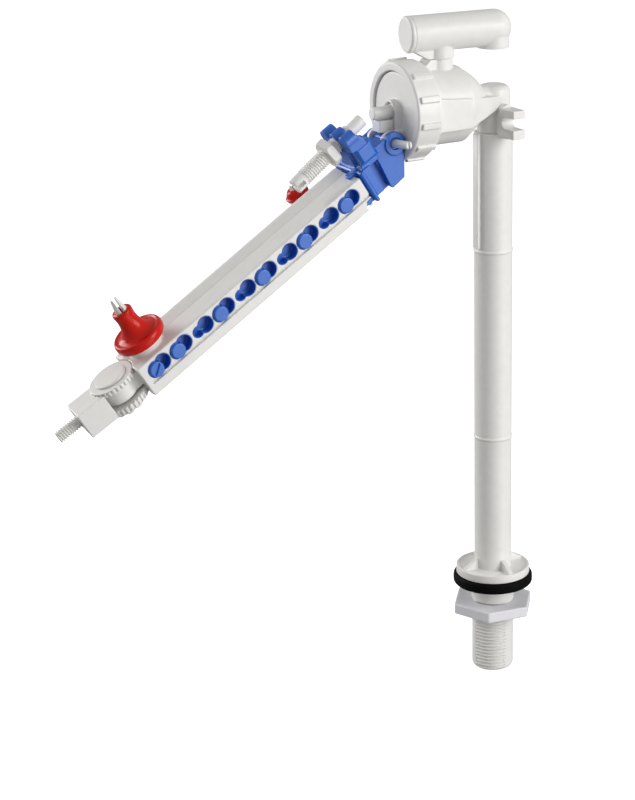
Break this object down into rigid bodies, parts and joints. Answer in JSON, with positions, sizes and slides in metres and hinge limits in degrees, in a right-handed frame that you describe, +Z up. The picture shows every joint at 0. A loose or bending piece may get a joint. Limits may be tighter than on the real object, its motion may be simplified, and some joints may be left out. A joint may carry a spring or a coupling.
{
  "type": "toilet fill valve",
  "caption": "Bottom-entry float-operated fill valve: threaded tail with backnut, riser tube, valve head with swivelling outlet, and a length-adjustable lever arm with a float stud.",
  "frame": {"origin": "on the riser's axis, in the seat plane where the washer rests on the cistern floor", "axes": "+Z up the riser, -X towards the float arm, -Y the side with the arm's keyholes"},
  "size_m": [0.2513, 0.0491, 0.3365],
  "materials": {
    "white_plastic": "satin",
    "grey_plastic": "satin",
    "blue_plastic": "satin",
    "red_plastic": "gloss",
    "black_rubber": "matte"
  },
  "bodies": {
    "valve": {"riser_tube": "white_plastic", "cistern_washer": "black_rubber", "inlet_filter": "white_plastic", "flow_restrictor": "white_plastic", "riser_o_ring": "black_rubber", "valve_body": "white_plastic", "seat_nozzle": "white_plastic", "diaphragm": "black_rubber", "front_cover": "white_plastic", "pivot_pin": "white_plastic", "hose_clip": "white_plastic", "outlet_o_ring": "black_rubber"},
    "backnut": {"backnut": "grey_plastic"},
    "union_nut": {"union_nut": "white_plastic"},
    "outlet": {"outlet_arm": "white_plastic", "outlet_end_cap": "white_plastic"},
    "plunger": {"plunger": "white_plastic"},
    "float_arm": {"lever_bracket": "blue_plastic", "lever_bar": "blue_plastic", "arm_sleeve": "white_plastic"},
    "adjusting_screw": {"adjusting_screw": "white_plastic"},
    "lock_nut": {"lock_nut": "white_plastic"},
    "lower_lock": {"lower_peg": "white_plastic", "lower_bell": "red_plastic"},
    "upper_lock": {"upper_peg": "white_plastic", "upper_bell": "red_plastic"},
    "float_knuckle": {"float_block": "white_plastic", "knuckle_bolt": "white_plastic"}
  },
  "joints": [
    {"name": "backnut_spin", "type": "hinge", "parent": "valve", "child": "backnut", "pos_m": [0, 0, -0.01225], "axis": [0, 0, 1], "continuous": true},
    {"name": "union_nut_spin", "type": "hinge", "parent": "valve", "child": "union_nut", "pos_m": [-0.049, 0, 0.24735], "axis": [1, 0, 0], "continuous": true},
    {"name": "outlet_swivel", "type": "hinge", "parent": "valve", "child": "outlet", "pos_m": [-0.0296, 0, 0.2727], "axis": [0, 0, 1], "range_deg": [-120, 120]},
    {"name": "arm_pivot", "type": "hinge", "parent": "valve", "child": "float_arm", "pos_m": [-0.0605, 0, 0.23465], "axis": [0, 1, 0], "range_deg": [0, 26]},
    {"name": "plunger_slide", "type": "slide", "parent": "valve", "child": "plunger", "axis": [1, 0, 0], "range_m": [0, 0.0024]},
    {"name": "screw_adjust", "type": "slide", "parent": "float_arm", "child": "adjusting_screw", "axis": [-0.7981, 0, -0.6025], "range_m": [0, 0.004]},
    {"name": "lock_nut_spin", "type": "hinge", "parent": "adjusting_screw", "child": "lock_nut", "pos_m": [-0.08956, 0, 0.23203], "axis": [-0.7981, 0, -0.6025], "continuous": true},
    {"name": "lower_lock_lift", "type": "slide", "parent": "float_arm", "child": "lower_lock", "axis": [-0.5321, 0, 0.8467], "range_m": [0, 0.005]},
    {"name": "upper_lock_lift", "type": "slide", "parent": "float_arm", "child": "upper_lock", "axis": [-0.5321, 0, 0.8467], "range_m": [0, 0.003]},
    {"name": "knuckle_swivel", "type": "hinge", "parent": "float_arm", "child": "float_knuckle", "pos_m": [-0.20401, 0, 0.14445], "axis": [-0.5321, 0, 0.8467], "range_deg": [-50, 50]}
  ],
  "couplings": [
    {"joint": "plunger_slide", "follows": "arm_pivot", "m_per_rad": 0.005289}
  ]
}
